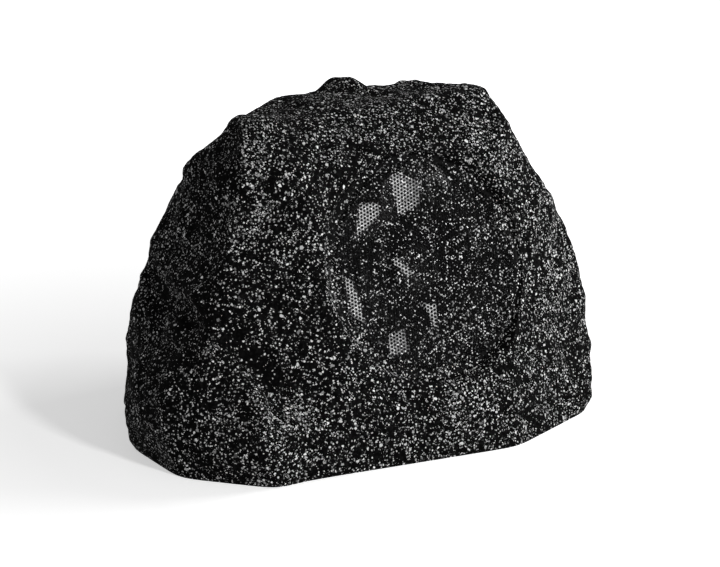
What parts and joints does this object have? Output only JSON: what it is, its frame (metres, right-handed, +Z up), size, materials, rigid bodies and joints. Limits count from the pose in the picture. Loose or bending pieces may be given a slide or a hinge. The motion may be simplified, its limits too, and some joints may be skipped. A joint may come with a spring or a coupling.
{
  "type": "rock shaped garden speaker",
  "caption": "Hollow granite-look rock with a coaxial loudspeaker driver behind a stamped perforated grille, closed by a base plate, with a cable gland at the back.",
  "frame": {"origin": "on the ground, under the middle of the whole speaker's box", "axes": "+Z up, the grille looks towards -Y and upwards, +X to the grille's right"},
  "size_m": [0.4004, 0.291, 0.2492],
  "materials": {
    "granite_cast": "cast mineral resin, black with white and grey flecks",
    "grille_spray": "sprayed to match the rock",
    "foam": "closed-cell foam",
    "rubber_roll": "butyl rubber",
    "basket_paint": "black paint",
    "cone_pulp": "coated pulp",
    "spider_cloth": "resin-dipped cloth",
    "former_foil": "foil",
    "copper_wire": "enamelled copper",
    "zinc_steel": "zinc plated",
    "ferrite": "sintered",
    "black_plastic": "moulded",
    "dome_silk": "coated silk",
    "black_screw": "black oxide",
    "tag_board": "fibre board",
    "nylon": "nylon",
    "circuit_board": "solder mask",
    "block_plastic": "moulded",
    "capacitor_sleeve": "shrink sleeve",
    "white_ceramic": "cement",
    "lead_sleeve": "vinyl"
  },
  "bodies": {
    "cabinet": {"back_plate": "zinc_steel", "base_gasket": "foam", "base_plate": "black_plastic", "base_screws": "zinc_steel", "board_screws": "zinc_steel", "board_standoffs": "nylon", "capacitors": "capacitor_sleeve", "crossover_board": "circuit_board", "driver_gasket": "foam", "driver_screws": "black_screw", "front_plate": "zinc_steel", "gland_body": "black_plastic", "gland_locknut": "black_plastic", "gland_nut": "black_plastic", "gland_seal": "rubber_roll", "grille": "grille_spray", "inductor": "copper_wire", "resistor": "white_ceramic", "rock_shell": "granite_cast", "terminal_block": "block_plastic", "terminal_strip": "tag_board", "tweeter_cup": "black_plastic", "tweeter_dome": "dome_silk", "tweeter_face": "black_plastic", "tweeter_leads": "lead_sleeve", "tweeter_magnet": "ferrite", "tweeter_stem": "zinc_steel", "woofer_basket": "basket_paint", "woofer_leads": "lead_sleeve", "woofer_magnet": "ferrite", "woofer_spider": "spider_cloth", "woofer_surround": "rubber_roll"},
    "cone_assembly": {"woofer_cone": "cone_pulp", "coil_former": "former_foil", "voice_coil": "copper_wire"}
  },
  "joints": [
    {"name": "cone_travel", "type": "slide", "parent": "cabinet", "child": "cone_assembly", "axis": [0, -0.9336, 0.3584], "range_m": [-0.004, 0.004], "stiffness_N_per_m": 1250, "deforming": ["woofer_surround", "woofer_spider"]}
  ]
}
